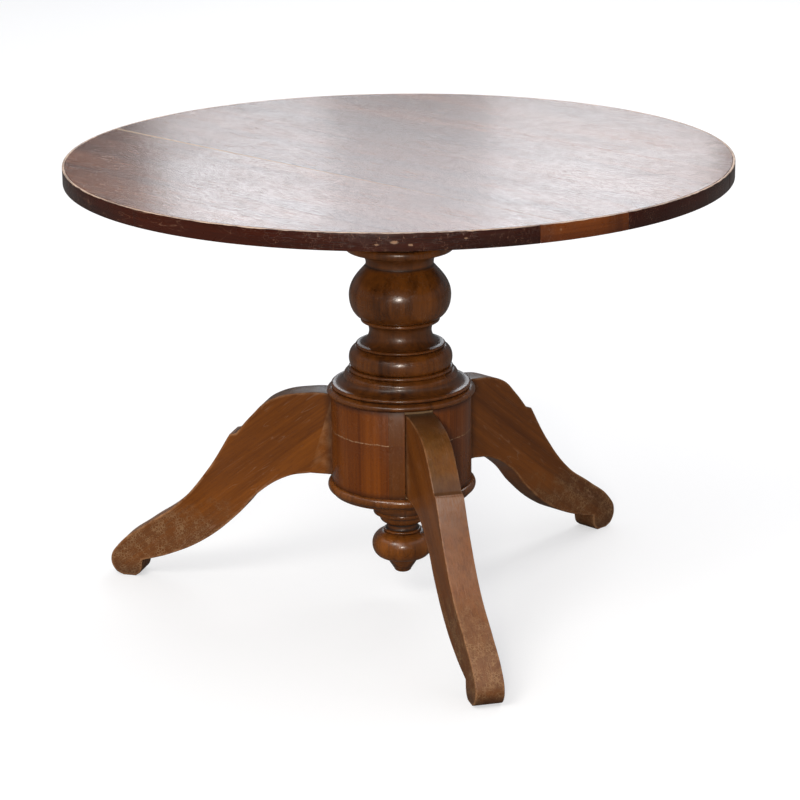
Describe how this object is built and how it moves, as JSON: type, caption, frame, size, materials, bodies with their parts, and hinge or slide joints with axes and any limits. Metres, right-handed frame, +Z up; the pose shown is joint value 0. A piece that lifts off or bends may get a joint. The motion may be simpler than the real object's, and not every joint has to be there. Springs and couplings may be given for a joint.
{
  "type": "round pedestal table",
  "caption": "Round tilt-top pedestal table in walnut: planked top on a turned column, a drum, scroll legs and a drop finial.",
  "frame": {"origin": "on the floor, on the axis of the column", "axes": "+Z up; one leg points along +Y; the top tips down on the -Y side about an axis along X"},
  "size_m": [1.06, 1.06, 0.741],
  "materials": {
    "top_walnut": "French polished, glossy, worn",
    "lipping_walnut": "polished, dark red brown",
    "patch_walnut": "polished, lighter orange brown",
    "turned_walnut": "polished, dark in the grooves",
    "drum_walnut": "polished veneer",
    "leg_walnut": "waxed, worn towards the feet",
    "raw_beech": "bare wood",
    "iron": "dark, slightly rusty",
    "brass": "tarnished"
  },
  "bodies": {
    "pedestal": {"pivot_block": "leg_walnut", "pivot_pin_left": "iron", "pivot_pin_right": "iron", "tenon_wedge": "raw_beech", "catch_screw": "iron", "baluster": "turned_walnut", "torus_ring": "turned_walnut", "base_moulding": "turned_walnut", "drum_core": "raw_beech", "drum_veneer_1": "drum_walnut", "drum_veneer_2": "drum_walnut", "drum_veneer_3": "drum_walnut", "drum_foot_ring": "turned_walnut", "drop_finial": "turned_walnut", "leg_back": "leg_walnut", "leg_left": "leg_walnut", "leg_right": "leg_walnut"},
    "top": {"top_plank_1": "top_walnut", "top_plank_2": "top_walnut", "top_plank_3": "top_walnut", "top_plank_4": "top_walnut", "top_plank_5": "top_walnut", "lipping_1": "lipping_walnut", "lipping_2": "lipping_walnut", "lipping_3": "lipping_walnut", "lipping_4": "lipping_walnut", "lipping_patch": "patch_walnut", "lipping_5": "lipping_walnut", "bearer_left": "leg_walnut", "bearer_right": "leg_walnut", "bearer_left_screw_1": "iron", "bearer_left_screw_2": "iron", "bearer_left_screw_3": "iron", "bearer_left_screw_4": "iron", "bearer_left_screw_5": "iron", "bearer_right_screw_1": "iron", "bearer_right_screw_2": "iron", "bearer_right_screw_3": "iron", "bearer_right_screw_4": "iron", "bearer_right_screw_5": "iron", "catch_keeper": "leg_walnut"},
    "catch": {"catch_button": "brass"}
  },
  "joints": [
    {"name": "top_tilt", "type": "hinge", "parent": "pedestal", "child": "top", "pos_m": [0, -0.105, 0.685], "axis": [1, 0, 0], "range_deg": [0, 88]},
    {"name": "catch_turn", "type": "hinge", "parent": "pedestal", "child": "catch", "pos_m": [0.055, 0.103, 0.686], "axis": [0, 1, 0], "range_deg": [0, 90]}
  ]
}
